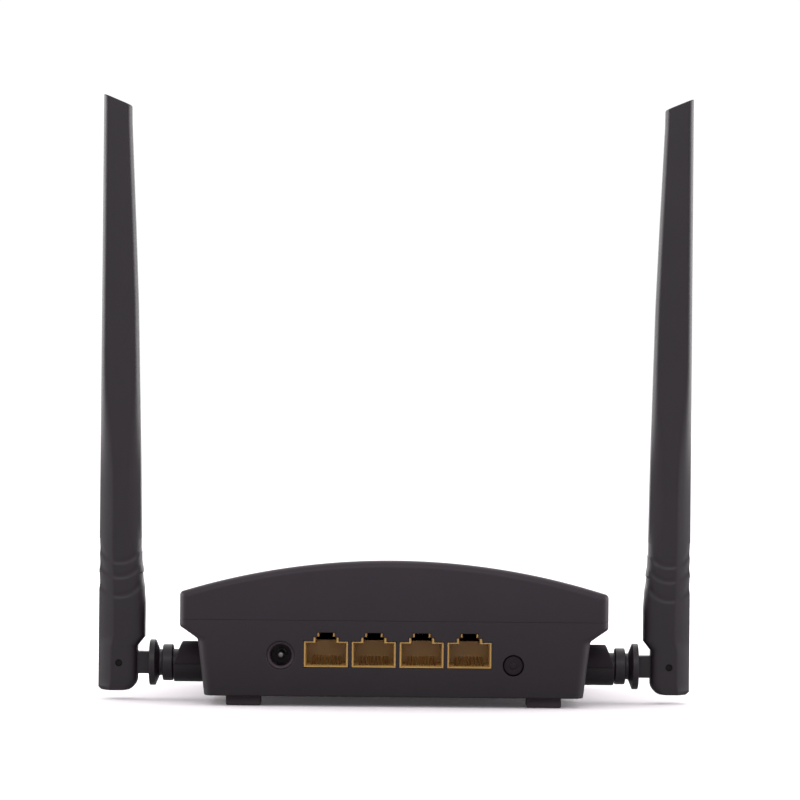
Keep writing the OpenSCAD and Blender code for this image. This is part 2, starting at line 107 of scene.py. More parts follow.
# inside and underneath
BOARD = board_high.z
PILLARS = [(x, y) for x in (-44, 44) for y in (-37, 34)]
PILLAR_R, PILLAR_JOIN = 3.2, 15.6
SCREW_SEAT = 6.2
STANDOFFS = [(-42, 2), (42, 2)]
LED_X = [-16, -8, 0, 8, 16]
LED_Y = 25.5
VENT_X = [-27 + 4.5 * k for k in range(13)]
VENT_Y = [-14, 8]
VENT_HALF, VENT_CORNER = (1, 8), 0.9
FOOT_HALF, FOOT_SINK = (5.3, 4.2), 0.7
LABEL_LOW, LABEL_HIGH, LABEL_SINK = (-23, 22), (23, 33), 0.2

# antenna joints: the stem turns in a bore along X, the blade on a pin along Y
STEM_Y = (pin_low.y + pin_high.y) / 2
STEM_Z = (pin_low.z + pin_high.z) / 2
PIVOT = (pin_low.x + pin_high.x) / 2
SOCKET_END = shell_high.x
BORE_START, BORE_R = 51.4, 4.05
CRADLE_START, CRADLE_R = 54.5, 5.7
CAP_START, CAP_R, CAP_HALF, CAP_LEAN, CAP_GAP = 54.8, 6.4, 6.5, 2.4, 0.1
PIN_HOLE_R = 1.05

# rear sockets, power inlet and button
PORTS = ["wan_port", "lan_port_1", "lan_port_2", "lan_port_3"]
JACK = ((jack_low.x + jack_high.x) / 2, BOARD + 6.3)
JACK_HOLE_R, BUTTON_HOLE_R = 3.95, 3.1
BUTTON = ((button_low.x + button_high.x) / 2, (button_low.z + button_high.z) / 2)


def port_x(port):
    """Middle of a network socket along X."""
    low, high = limits(port + "_housing")
    return (low.x + high.x) / 2


# ---------- mesh helpers ----------
def solid(name, points, faces):
    """A closed object from points in millimetres, its faces turned outwards."""
    mesh = bpy.data.meshes.new(name)
    mesh.from_pydata([(x * MM, y * MM, z * MM) for x, y, z in points], [], faces)
    obj = bpy.data.objects.new(name, mesh)
    bpy.context.scene.collection.objects.link(obj)
    work = bmesh.new()
    work.from_mesh(mesh)
    bmesh.ops.recalc_face_normals(work, faces=work.faces)
    work.to_mesh(mesh)
    work.free()
    return obj


def loft(name, rings):
    """A closed solid through rings of equally many points, flat at both ends."""
    count = len(rings[0])
    points = [p for ring in rings for p in ring]
    faces = []
    for k in range(len(rings) - 1):
        for i in range(count):
            a, b = k * count + i, k * count + (i + 1) % count
            faces.append((a, b, b + count, a + count))
    last = (len(rings) - 1) * count
    faces.append(tuple(range(count))[::-1])
    faces.append(tuple(range(last, last + count)))
    return solid(name, points, faces)


def rounded_path(corners, steps=6):
    """Points of an open path whose corners (x, y, radius) are turned into arcs."""
    path = []
    for k, (x, y, radius) in enumerate(corners):
        here = Vector((x, y))
        if radius <= 0 or k in (0, len(corners) - 1):
            path.append(here)
            continue
        back = (Vector(corners[k - 1][:2]) - here).normalized()
        ahead = (Vector(corners[k + 1][:2]) - here).normalized()
        half = back.angle(ahead) / 2
        reach = radius / math.tan(half)
        centre = here + (back + ahead).normalized() * (radius / math.sin(half))
        start, end = here + back * reach - centre, here + ahead * reach - centre
        sweep = start.angle(end)
        for i in range(steps + 1):
            t = i / steps
            a = math.sin((1 - t) * sweep) / math.sin(sweep)
            b = math.sin(t * sweep) / math.sin(sweep)
            path.append(centre + start * a + end * b)
    return [(p.x, p.y) for p in path]


def closed_path(corners, steps=6):
    """The same for a closed outline."""
    return rounded_path([corners[-1], *corners, corners[0]], steps)[1:-1]


def quarter_round(edge):
    """A rounded edge in six steps, as (distance along, distance in)."""
    steps = []
    for k in range(6):
        a = math.radians(90 * k / 5)
        steps.append((edge * (1 - math.cos(a)), edge * (1 - math.sin(a))))
    return steps


def lathe(name, axis, centre, profile, turns=48):
    """A solid of revolution; profile is (place along the axis, radius), from end to end."""
    rings = []
    for place, radius in profile:
        ring = []
        for i in range(turns):
            a = 2 * math.pi * i / turns
            u, v = max(radius, 0.001) * math.cos(a), max(radius, 0.001) * math.sin(a)
            if axis == "x":
                ring.append((place, centre[0] + u, centre[1] + v))
            elif axis == "y":
                ring.append((centre[0] + u, place, centre[1] + v))
            else:
                ring.append((centre[0] + u, centre[1] + v, place))
        rings.append(ring)
    return loft(name, rings)


def block(name, low, high, edge=0.0, axis="z"):
    """A box whose edges along one axis are rounded, and whose ends are chamfered."""
    order = {"x": (1, 2, 0), "y": (0, 2, 1), "z": (0, 1, 2)}[axis]
    a0, b0, c0 = (low[i] for i in order)
    a1, b1, c1 = (high[i] for i in order)
    rings = []
    ends = [(c0, edge), (c0 + edge, 0), (c1 - edge, 0), (c1, edge)] if edge else [(c0, 0), (c1, 0)]
    for c, inset in ends:
        outline = closed_path([
            (a0 + inset, b0 + inset, edge), (a1 - inset, b0 + inset, edge),
            (a1 - inset, b1 - inset, edge), (a0 + inset, b1 - inset, edge),
        ], 4) if edge else [(a0, b0), (a1, b0), (a1, b1), (a0, b1)]
        ring = []
        for a, b in outline:
            p = [0, 0, 0]
            p[order[0]], p[order[1]], p[order[2]] = a, b, c
            ring.append(tuple(p))
        rings.append(ring)
    return loft(name, rings)


def merged(name, objects):
    """One object holding the meshes of several, which are removed."""
    work = bmesh.new()
    for obj in objects:
        work.from_mesh(obj.data)
        bpy.data.objects.remove(obj)
    mesh = bpy.data.meshes.new(name)
    work.to_mesh(mesh)
    work.free()
    obj = bpy.data.objects.new(name, mesh)
    bpy.context.scene.collection.objects.link(obj)
    return obj


def combine(obj, tools, operation="DIFFERENCE"):
    """Cuts the tools out of an object, or adds them to it, and applies the result."""
    tool = merged("tool", tools)
    step = obj.modifiers.new("combine", "BOOLEAN")
    step.operation = operation
    step.object = tool
    step.solver = "EXACT"
    apply_modifiers(obj)
    bpy.data.objects.remove(tool)
    return obj


def apply_modifiers(obj):
    graph = bpy.context.evaluated_depsgraph_get()
    mesh = bpy.data.meshes.new_from_object(obj.evaluated_get(graph))
    obj.modifiers.clear()
    obj.data = mesh


def mirrored(obj, name):
    """A copy mirrored in the middle plane."""
    copy = obj.copy()
    copy.data = obj.data.copy()
    copy.name = name
    bpy.context.scene.collection.objects.link(copy)
    copy.data.transform(Matrix.Scale(-1, 4, (1, 0, 0)))
    copy.data.flip_normals()
    return copy


def smooth(obj, angle=32):
    """Smooth faces, sharp over the angle, with the broad faces leading the shading."""
    mesh = obj.data
    mesh.polygons.foreach_set("use_smooth", [True] * len(mesh.polygons))
    mesh.set_sharp_from_angle(angle=math.radians(angle))
    weigh = obj.modifiers.new("weigh", "WEIGHTED_NORMAL")
    weigh.keep_sharp = True
    weigh.weight = 60


def dress(obj, name, slot, *nodes, angle=32):
    """Names a finished piece, gives it its finish and body, and hides the nodes it stands for."""
    obj.name = name
    smooth(obj, angle)
    obj.data.materials.clear()
    obj.data.materials.append(FINISH[slot])
    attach(obj, NODES[nodes[0]]["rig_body"])
    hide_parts(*nodes)
    return obj


def refined(node, slot, edge):
    """A CAD node's shape with its flat faces cleaned and its edges rounded."""
    obj = bpy.data.objects.new(node + "_piece", NODES[node].data.copy())
    bpy.context.scene.collection.objects.link(obj)
    work = bmesh.new()
    work.from_mesh(obj.data)
    bmesh.ops.remove_doubles(work, verts=work.verts, dist=1e-6)
    bmesh.ops.dissolve_limit(
        work, angle_limit=math.radians(1), verts=work.verts, edges=work.edges
    )
    work.to_mesh(obj.data)
    work.free()
    if edge:
        rounding = obj.modifiers.new("rounding", "BEVEL")
        rounding.width = edge * MM
        rounding.segments = 2
        rounding.limit_method = "ANGLE"
        rounding.angle_limit = math.radians(40)
        apply_modifiers(obj)
    return dress(obj, node + "_piece", slot, node)


# ---------- materials ----------
def material(
    name, colour, rough, *, metal=0.0, shift=0.12, patch=70.0, grain=2600.0, relief=0.25,
    depth=0.02, rough_shift=0.08, spec=0.5, coat=0.0, glow=0.0, clear=0.0, brushed=None,
    light_and_painted_shade=0.0,
):
    """A finish with a mottled colour, an uneven gloss and a fine surface grain, and if asked a
    painted shade by height.

    patch and grain are noise scales per metre, depth is the grain's height in millimetres.
    The last argument paints shade into the colour: it darkens it towards the floor and lightens it
    towards the crown, by this much in all.
    """
    mat = bpy.data.materials.new(name)
    mat.use_nodes = True
    nodes, links = mat.node_tree.nodes, mat.node_tree.links
    shader = nodes["Principled BSDF"]
    shader.inputs["Metallic"].default_value = metal
    shader.inputs["Specular IOR Level"].default_value = spec
    shader.inputs["Coat Weight"].default_value = coat
    shader.inputs["Coat Roughness"].default_value = 0.25
    shader.inputs["Transmission Weight"].default_value = clear
    shader.inputs["Subsurface Weight"].default_value = glow
    shader.inputs["Subsurface Radius"].default_value = (0.002, 0.0012, 0.0004)
    shader.inputs["Subsurface Scale"].default_value = 0.6
    place = nodes.new("ShaderNodeTexCoord")
    source = place.outputs["Object"]
    if brushed:
        stretch = nodes.new("ShaderNodeMapping")
        stretch.inputs["Scale"].default_value = brushed
        links.new(source, stretch.inputs["Vector"])
        source = stretch.outputs["Vector"]

    def noise(scale, detail):
        node = nodes.new("ShaderNodeTexNoise")
        node.inputs["Scale"].default_value = scale
        node.inputs["Detail"].default_value = detail
        links.new(source, node.inputs["Vector"])
        return node.outputs["Fac"]

    def ramp(value, low, high):
        node = nodes.new("ShaderNodeMapRange")
        node.inputs["From Min"].default_value = 0.3
        node.inputs["From Max"].default_value = 0.7
        node.inputs["To Min"].default_value = low
        node.inputs["To Max"].default_value = high
        links.new(value, node.inputs["Value"])
        return node.outputs["Result"]

    mix = nodes.new("ShaderNodeMix")
    mix.data_type = "RGBA"
    mix.inputs["A"].default_value = (*[c * (1 - shift) for c in colour], 1)
    mix.inputs["B"].default_value = (*[c * (1 + shift) for c in colour], 1)
    broad = noise(patch, 4)
    links.new(ramp(broad, 0, 1), mix.inputs["Factor"])
    links.new(mix.outputs["Result"], shader.inputs["Base Color"])
    # painted shade: the colour is scaled by height, darker at the floor and lighter at the crown
    if light_and_painted_shade:
        split = nodes.new("ShaderNodeSeparateXYZ")
        links.new(place.outputs["Object"], split.inputs["Vector"])
        rise = nodes.new("ShaderNodeMapRange")
        rise.inputs["From Max"].default_value = CROWN * MM
        rise.inputs["To Min"].default_value = 1 - light_and_painted_shade / 2
        rise.inputs["To Max"].default_value = 1 + light_and_painted_shade / 2
        links.new(split.outputs["Z"], rise.inputs["Value"])
        scale = nodes.new("ShaderNodeVectorMath")
        scale.operation = "SCALE"
        links.new(mix.outputs["Result"], scale.inputs[0])
        links.new(rise.outputs["Result"], scale.inputs["Scale"])
        links.new(scale.outputs["Vector"], shader.inputs["Base Color"])
    fine = noise(grain, 3)
    links.new(
        ramp(noise(patch * 4, 5), rough - rough_shift, rough + rough_shift),
        shader.inputs["Roughness"],
    )
    bump = nodes.new("ShaderNodeBump")
    bump.inputs["Strength"].default_value = relief
    bump.inputs["Distance"].default_value = depth * MM
    links.new(fine, bump.inputs["Height"])
    links.new(bump.outputs["Normal"], shader.inputs["Normal"])
    return mat


# colour, roughness, and what differs from the defaults of material()
RECIPES = {
    # the case's colour carries a painted shade, darker towards the floor and lighter towards the
    # crown
    "case_plastic": dict(
        colour=(0.0233, 0.017, 0.0223), rough=0.46, shift=0.045, rough_shift=0.02, relief=0.6,
        depth=0.035, spec=0.25, light_and_painted_shade=0.6,
    ),
    "antenna_plastic": dict(
        colour=(0.016, 0.0107, 0.0153), rough=0.42, shift=0.045, rough_shift=0.02, relief=0.4,
        depth=0.025, spec=0.38,
    ),
    "dark_plastic": dict(colour=(0.0135, 0.0082, 0.0124), rough=0.6, relief=0.2, spec=0.2),
    "jack_plastic": dict(colour=(0.07, 0.048, 0.063), rough=0.42, relief=0.1, spec=0.3),
    "socket_plastic": dict(colour=(0.5, 0.295, 0.09), rough=0.38, relief=0.1, glow=0.2, shift=0.1),
    "foot_rubber": dict(colour=(0.055, 0.041, 0.05), rough=0.8, relief=0.6, depth=0.05, spec=0.2),
    "label_film": dict(colour=(0.75, 0.75, 0.73), rough=0.4, shift=0.03, relief=0.1),
    "board_laminate": dict(
        colour=(0.02, 0.13, 0.06), rough=0.3, shift=0.25, patch=160, relief=0.2, coat=0.3,
    ),
    "chip_resin": dict(colour=(0.02, 0.02, 0.022), rough=0.6, relief=0.5, depth=0.03),
    "ferrite": dict(
        colour=(0.08, 0.08, 0.085), rough=0.7, shift=0.3, patch=900, relief=0.6, depth=0.05,
    ),
    "ceramic_body": dict(colour=(0.42, 0.3, 0.19), rough=0.5, shift=0.2, patch=500),
    "capacitor_sleeve": dict(colour=(0.02, 0.03, 0.09), rough=0.25, coat=0.4),
    "led_lens": dict(colour=(0.85, 0.85, 0.75), rough=0.3, shift=0.05, glow=0.3),
    "clear_plastic": dict(
        colour=(0.8, 0.83, 0.85), rough=0.12, shift=0.04, rough_shift=0.04, clear=0.9,
    ),
    "cable_jacket": dict(colour=(0.02, 0.02, 0.02), rough=0.45, relief=0.3),
    "zinc_steel": dict(colour=(0.55, 0.55, 0.56), rough=0.35, metal=1, patch=300, relief=0.2),
    "pin_steel": dict(colour=(0.009, 0.0075, 0.0085), rough=0.55, metal=0.2, patch=300, spec=0.15),
    "nickel_plate": dict(colour=(0.19, 0.18, 0.185), rough=0.36, metal=1, patch=300, relief=0.1),
    "tin_plate": dict(colour=(0.6, 0.6, 0.6), rough=0.35, metal=1, patch=200, relief=0.3),
    "gold_plate": dict(colour=(0.83, 0.64, 0.33), rough=0.35, metal=1, patch=400, relief=0.1),
    "brass_tube": dict(colour=(0.62, 0.45, 0.17), rough=0.3, metal=1, brushed=(1, 1, 0.05)),
    "heat_sink_alloy": dict(colour=(0.55, 0.55, 0.56), rough=0.4, metal=1, brushed=(1, 0.05, 1)),
}
FINISH = {name: material(name, **recipe) for name, recipe in RECIPES.items()}


# ---------- case ----------
def plan(half_w, rear, front, rear_r, front_r, z_of):
    """Ring of the case's outline seen from above; z_of gives the height of a point.

    It takes x, y and how far the wall faces the rear or the front: 0 on the sides, 1 there.
    """
    arc, wide, deep = 8, 56, 30
    ring = []

    def line(x0, y0, x1, y1, count):
        facing = 1.0 if y0 == y1 else 0.0
        for i in range(1, count):
            t = i / count
            ring.append((x0 + (x1 - x0) * t, y0 + (y1 - y0) * t, facing))

    def corner(cx, cy, r, start):
        for i in range(arc + 1):
            a = math.radians(start + 90 * i / arc)
            ring.append((cx + r * math.cos(a), cy + r * math.sin(a), math.sin(a) ** 2))

    rear_r, front_r = max(rear_r, 0.12), max(front_r, 0.12)
    line(-half_w + rear_r, rear, half_w - rear_r, rear, wide)
    corner(half_w - rear_r, rear + rear_r, rear_r, -90)
    line(half_w, rear + rear_r, half_w, front - front_r, deep)
    corner(half_w - front_r, front - front_r, front_r, 0)
    line(half_w - front_r, front, -half_w + front_r, front, wide)
    corner(-half_w + front_r, front - front_r, front_r, 90)
    line(-half_w, front - front_r, -half_w, rear + rear_r, deep)
    corner(-half_w + rear_r, rear + rear_r, rear_r, 180)
    return [(x, y, z_of(x, y, facing)) for x, y, facing in ring]


def dome(inset):
    """Height of the roof's surface, or of the one a distance inside it."""
    def height(x, y, facing=0):
        arc = math.sqrt((DOME_R - inset) ** 2 - x * x)
        return CROWN + (arc - DOME_R) / math.cos(SLOPE) - (y - REAR) * math.tan(SLOPE)
    return height


def shrunk(ring, share, height):
    """A ring drawn in to a share of its size around the case's middle, laid on a surface."""
    middle_y = (REAR + FRONT) / 2
    return [
        (x * share, middle_y + (y - middle_y) * share,
         height(x * share, middle_y + (y - middle_y) * share))
        for x, y, z in ring
    ]


def level(z):
    """A flat surface at a height, for plan() and shrunk()."""
    return lambda x, y, facing=0: z


def build_cover():
    """The domed cover: over the roof, down the wall, round the seam's ledge and back inside."""
    fillet, side_fillet, steps = 2.4, 0.9, 9
    outer, inner = dome(0), dome(ROOF)

    def rim(inset, height, side_inset=None):
        side = inset if side_inset is None else side_inset
        return plan(
            HALF_W - side, REAR + inset, FRONT - inset, REAR_CORNER - inset,
            FRONT_CORNER - inset, height,
        )

    rings = []
    top = rim(fillet, outer, side_fillet)
    for k in range(25):
        rings.append(shrunk(top, 0.02 + 0.98 * k / 25, outer))
    for k in range(steps + 1):
        a = math.radians(90 * k / steps)
        gone, fall = 1 - math.sin(a), 1 - math.cos(a)

        def edge(x, y, facing, fall=fall):
            return outer(x, y) - fall * (side_fillet + (fillet - side_fillet) * facing)

        rings.append(rim(fillet * gone, edge, side_fillet * gone))
    for inset, rise in SEAM_EDGE:
        rings.append(rim(inset, level(SEAM + rise)))
    lip = WALL + LEDGE_GAP
    rings.append(rim(lip, level(SEAM)))
    rings.append(rim(lip, level(SEAM - LEDGE)))
    rings.append(rim(lip + LEDGE, level(SEAM - LEDGE)))
    rings.append(rim(lip + LEDGE, level(SEAM + 1)))
    rings.append(rim(WALL, level(SEAM + 1)))
    ceiling = rim(WALL, inner)
    for k in range(13):
        rings.append(shrunk(ceiling, 1 - 0.98 * k / 12, inner))
    cover = loft("cover", rings)
    posts, holes = [], []
    for place in PILLARS:
        top_z = dome(ROOF / 2)(*place)
        posts.append(lathe("post", "z", place, [(PILLAR_JOIN, PILLAR_R), (top_z, PILLAR_R)], 32))
        thread = [(14, 1.55), (PILLAR_JOIN + 0.1, 1.55), (PILLAR_JOIN + 0.3, 1.3)]
        thread += [(PILLAR_JOIN + 10, 1.3)]
        holes.append(lathe("hole", "z", place, thread, 24))
    for x in LED_X:
        z = outer(x, LED_Y)
        flare = [(z - 5, 1.2), (z - 0.15, 1.2), (z + 1, 1.5)]
        holes.append(lathe("hole", "z", (x, LED_Y), flare, 32))
    combine(cover, posts, "UNION")
    combine(cover, holes)
    return dress(cover, "cover", "case_plastic", "top_cover")


def side_profile():
    """How far the lower shell's side stands in from its rim, at heights from the base up."""
    return rounded_path([
        (BASE_IN, UNDER, 0), (FLARE_IN, FLARE_Z, 1.6), (0, RIM_Z, 1.0), (0, SEAM, 0),
    ])


def shell_ring(side, inset, z):
    """Ring of the lower shell: side is its set-in below the flare, inset its distance inside."""
    low = min(side / FLARE_IN, 1)
    base = max(side - FLARE_IN, 0) / (BASE_IN - FLARE_IN)
    front = FRONT - FLARE_FRONT * low - BASE_FRONT * base - inset
    return plan(
        HALF_W - side - inset, REAR + inset, front, REAR_CORNER + REAR_CORNER_MORE * low - inset,
        FRONT_CORNER - FRONT_CORNER_LESS * low - inset, level(z),
    )


# socket outlines in heights above the board: the foot, then (half width, top) of each step
WINDOW = (2.9, [(6.55, 10.6), (3.8, 11.8), (2.65, 13.1)])
NOSE = (3.0, [(6.45, 10.5), (3.7, 11.7), (2.55, 13.0)])
CAVITY = (3.45, [(5.9, 10.05), (3.0, 11.9), (2.0, 13.1)])
LATCH = (10.0, [(3.0, 11.9), (2.0, 13.1)])
CAVITY_DEEP = 12.4
WIRE_PITCH, WIRE_R = 1.02, 0.22


def port_ring(x, y, opening, grow=0.0):
    """Ring at depth y along one of the socket outlines, moved outwards by grow."""
    foot, steps = opening
    below = foot - grow
    right = []
    for half, top in steps:
        right += [(half + grow, below), (half + grow, top + grow)]
        below = top + grow
    outline = right + [(-a, b) for a, b in reversed(right)]
    return [(x + a, y, BOARD + b) for a, b in outline]


def side_wall_outline(z0, z1, inset):
    """Points (x, z) of the lower shell's side face between two heights."""
    path = [(HALF_W - s - inset, z) for s, z in side_profile()]
    xs, zs = [p[0] for p in path], [p[1] for p in path]
    heights = sorted({z0, z1, *[z for z in zs if z0 < z < z1]})
    return [(float(np.interp(z, zs, xs)), z) for z in heights]


def build_shell():
    """The tub itself: up the outside, over the rim, down the inside."""
    edge, rise = 0.4, 0.6 * WALL
    under = shell_ring(BASE_IN, edge, UNDER)
    rings = [shrunk(under, share, level(UNDER)) for share in (0.03, 0.5)]
    for lift, inset in quarter_round(edge):
        rings.append(shell_ring(BASE_IN, inset, UNDER + lift))
    for side, z in side_profile()[1:-1]:
        rings.append(shell_ring(side, 0, z))
    for inset, fall in SEAM_EDGE:
        rings.append(shell_ring(0, inset, SEAM - fall))
    rings.append(shell_ring(0, WALL, SEAM))
    rings.append(shell_ring(0, WALL, RIM_Z + rise))
    rings.append(shell_ring(FLARE_IN, WALL, FLARE_Z + rise))
    inside = shell_ring(BASE_IN, WALL, UNDER + WALL)
    rings.append(inside)
    rings.append(shrunk(inside, 0.03, level(UNDER + WALL)))
    return loft("lower", rings)


def vent_slot(x, y):
    """A slot with round corners through the base, flared at its lower edge."""
    wide, long = VENT_HALF
    rings = []
    for z, grow in ((UNDER - 0.5, 0.3), (UNDER, 0.15), (UNDER + 0.15, 0), (UNDER + WALL + 1, 0)):
        radius = VENT_CORNER + grow
        outline = closed_path([
            (x - wide - grow, y - long - grow, radius), (x + wide + grow, y - long - grow, radius),
            (x + wide + grow, y + long + grow, radius), (x - wide - grow, y + long + grow, radius),
        ], 5)
        rings.append([(a, b, z) for a, b in outline])
    return loft("cut", rings)


def stem_bore(side):
    """The bore that a stem turns in, through the cradle and the cap."""
    ends = sorted((side * BORE_START, side * (SOCKET_END + 1)))
    return lathe("bore", "x", (STEM_Y, STEM_Z), [(ends[0], BORE_R), (ends[1], BORE_R)], 64)


def build_lower():
    """The lower case with its openings, screw pillars, board standoffs and antenna cradles."""
    shell = build_shell()
    behind = REAR - 0.5
    through = REAR + WALL + 0.5
    cuts = []
    for port in PORTS:
        x = port_x(port)
        cuts.append(loft("cut", [
            port_ring(x, behind, WINDOW, 0.3), port_ring(x, REAR, WINDOW, 0.16),
            port_ring(x, REAR + 0.05, WINDOW, 0.06), port_ring(x, REAR + 0.16, WINDOW),
            port_ring(x, through, WINDOW),
        ]))
    cuts.append(lathe("cut", "y", JACK, [
        (behind, 4.9), (REAR, 4.42), (REAR + 0.12, 4.22), (REAR + 0.5, 3.98),
        (REAR + 0.7, JACK_HOLE_R), (through, JACK_HOLE_R),
    ], 64))
    cuts.append(lathe("cut", "y", BUTTON, [
        (behind, 3.5), (REAR, 3.28), (REAR + 0.06, 3.17), (REAR + 0.2, BUTTON_HOLE_R),
        (through, BUTTON_HOLE_R),
    ], 64))
    for y in VENT_Y:
        for x in VENT_X:
            cuts.append(vent_slot(x, y))
    cuts.append(block("cut", (*LABEL_LOW, UNDER - 1), (*LABEL_HIGH, UNDER + LABEL_SINK)))
    for side in (-1, 1):
        x0, x1 = sorted((side * 50, side * (HALF_W + 1)))
        y0, y1 = STEM_Y - CAP_HALF - 0.1, STEM_Y + CAP_HALF + 0.1
        cuts.append(block("cut", (x0, y0, STEM_Z), (x1, y1, SEAM + 1)))
    combine(shell, cuts)

    adds = []
    for place in PILLARS:
        shoulder = SCREW_SEAT + 1.6
        adds.append(lathe("add", "z", place, [
            (UNDER + WALL / 2, 4.2), (shoulder - 0.2, 4.2), (shoulder, 4.0),
            (shoulder, PILLAR_R), (PILLAR_JOIN - 0.1, PILLAR_R),
        ], 40))
    for place in STANDOFFS:
        adds.append(lathe("add", "z", place, [(UNDER + WALL / 2, 2.8), (board_low.z, 2.8)], 32))
    for side in (-1, 1):
        adds.append(half_round(side, CRADLE_START, SOCKET_END, CRADLE_R, 0, -1))
    combine(shell, adds, "UNION")

    bores = []
    foot_x, foot_y = FOOT_HALF
    for side in (-1, 1):
        bores.append(stem_bore(side))
    for x, y in PILLARS:
        bores.append(lathe("bore", "z", (x, y), [(SCREW_SEAT - 0.01, 1.6), (17, 1.6)], 32))
        bores.append(lathe("bore", "z", (x, y), [(0, 2.9), (SCREW_SEAT, 2.9)], 32))
        low, high = (x - foot_x, y - foot_y, UNDER - 2), (x + foot_x, y + foot_y, UNDER + FOOT_SINK)
        bores.append(block("bore", low, high))
    for place in STANDOFFS:
        bores.append(lathe("bore", "z", place, [(UNDER + 1, 1.1), (BOARD, 1.1)], 24))
    combine(shell, bores)
    return dress(shell, "lower_case", "case_plastic", "lower_shell")


def half_round(side, x0, x1, radius, lean, up):
    """Half of a rod along X, above (up = 1) or below (up = -1) the stem's axis.

    Its outer end is rounded, and leans inwards by lean at the top.
    """
    rings = []
    profile = [(x0, 0.0), (x0 + 1, 0.0)]
    profile += [(x1 - inset, lift) for lift, inset in quarter_round(0.5)]
    for x, shrink in profile:
        r = radius - shrink
        ring = []
        for i in range(25):
            a = math.pi * i / 24
            y, z = r * math.cos(a), up * r * math.sin(a)
            back = lean * max(z, 0) / radius * (x - x0) / (x1 - x0)
            ring.append((side * (x - back), STEM_Y + y, STEM_Z + z))
        rings.append(ring)
    return loft("half", rings)


def build_cap(side):
    """The dark piece above a stem: a patch of the side wall joined to half a rod."""
    low, high = STEM_Z + CAP_GAP, SEAM - CAP_GAP
    outline = side_wall_outline(low, high, 0) + side_wall_outline(low, high, WALL)[::-1]
    ends = (STEM_Y - CAP_HALF, STEM_Y + CAP_HALF)
    cap = loft("wall", [[(side * x, y, z) for x, z in outline] for y in ends])
    upper = half_round(side, CAP_START, SOCKET_END, CAP_R, CAP_LEAN, 1)
    for v in upper.data.vertices:
        v.co.z = max(v.co.z, low * MM)
    combine(cap, [upper], "UNION")
    combine(cap, [stem_bore(side)])
    word = "right" if side > 0 else "left"
    return dress(cap, word + "_cap", "dark_plastic", word + "_socket_cap")


# ---------- rear sockets ----------
def build_port(port):
    """A socket's body behind the panel, its nose in the panel's window, and its cavity."""
    x = port_x(port)
    low, high = limits(port + "_housing")
    front = low.y
    body_front = REAR + WALL + 0.1
    deep = body_front + CAVITY_DEEP
    behind = front - 0.5
    body = block("body", (low.x, body_front, low.z), tuple(high), 0.15, "y")
    nose = loft("nose", [
        port_ring(x, front, NOSE, -0.12), port_ring(x, front + 0.04, NOSE, -0.04),
        port_ring(x, front + 0.12, NOSE), port_ring(x, body_front + 0.1, NOSE),
    ])
    combine(body, [nose], "UNION")
    cut = loft("cut", [
        port_ring(x, behind, CAVITY, 0.2), port_ring(x, front, CAVITY, 0.16),
        port_ring(x, front + 0.5, CAVITY, 0.0), port_ring(x, front + 3, CAVITY, -0.12),
        port_ring(x, deep, CAVITY, -0.2),
    ])
    combine(body, [cut])
    latch = loft("latch", [port_ring(x, behind, LATCH), port_ring(x, high.y + 1, LATCH)])
    combine(body, [latch])
    recess_low = (x - 4.4, body_front + 0.9, BOARD + 2.85)
    combine(body, [block("recess", recess_low, (x + 4.4, deep, BOARD + 6))])
    return dress(body, port + "_socket", "socket_plastic", port + "_housing")


def build_contacts(port):
    """Eight sprung wires, each a rounded strip that rises towards the back."""
    x = port_x(port)
    low, high = limits(port + "_contacts")
    r = WIRE_R
    path = rounded_path([
        (low.y, low.z + r, 0), (low.y + 1.9, low.z + r, 0.8), (high.y - r, high.z - r, 0),
    ], 5)
    wires = []
    for k in range(8):
        centre = x + (k - 3.5) * WIRE_PITCH
        rings = []
        for i, (y, z) in enumerate(path):
            ahead = Vector(path[min(i + 1, len(path) - 1)]) - Vector(path[max(i - 1, 0)])
            tilt = math.atan2(ahead.y, ahead.x)
            ring = []
            for j in range(12):
                a = 2 * math.pi * j / 12
                u, v = r * math.cos(a), r * math.sin(a)
                ring.append((centre + u, y - v * math.sin(tilt), z + v * math.cos(tilt)))
            rings.append(ring)
        wires.append(loft("wire", rings))
    return dress(merged("wires", wires), port + "_wires", "gold_plate", port + "_contacts")


def build_jack():
    """The power inlet with its slot for the spring, and its centre pin."""
    front, deep = jack_low.y, jack_low.y + 10
    body = block("body", tuple(jack_low), tuple(jack_high), 0.25, "y")
    bore = lathe("bore", "y", JACK, [
        (front - 0.5, 3.9), (front, 3.72), (front + 0.1, 3.5), (front + 0.45, 3.2),
        (front + 0.7, 3.15), (deep, 3.15), (deep, 1.3), (deep + 5, 1.3),
    ], 64)
    slot_low = (JACK[0] - 1.3, front + 1.5, JACK[1] - 4.05)
    slot = block("slot", slot_low, (JACK[0] + 1.3, deep, JACK[1] - 2))
    combine(body, [bore])
    combine(body, [slot])
    dress(body, "power_inlet", "jack_plastic", "dc_jack_housing")
    low, high = limits("dc_jack_pin")
    profile = []
    for degrees in range(0, 91, 15):
        a = math.radians(degrees)
        profile.append((low.y + 0.6 * (1 - math.cos(a)), math.sin(a)))
    profile += [(deep - 0.7, 1), (deep - 0.6, 1.38), (deep - 0.5, 1.45), (deep - 0.1, 1.45)]
    profile += [(deep, 1.3), (high.y, 1.3)]
    pin = lathe("pin", "y", JACK, profile, 40)
    dress(pin, "power_inlet_pin", "nickel_plate", "dc_jack_pin")


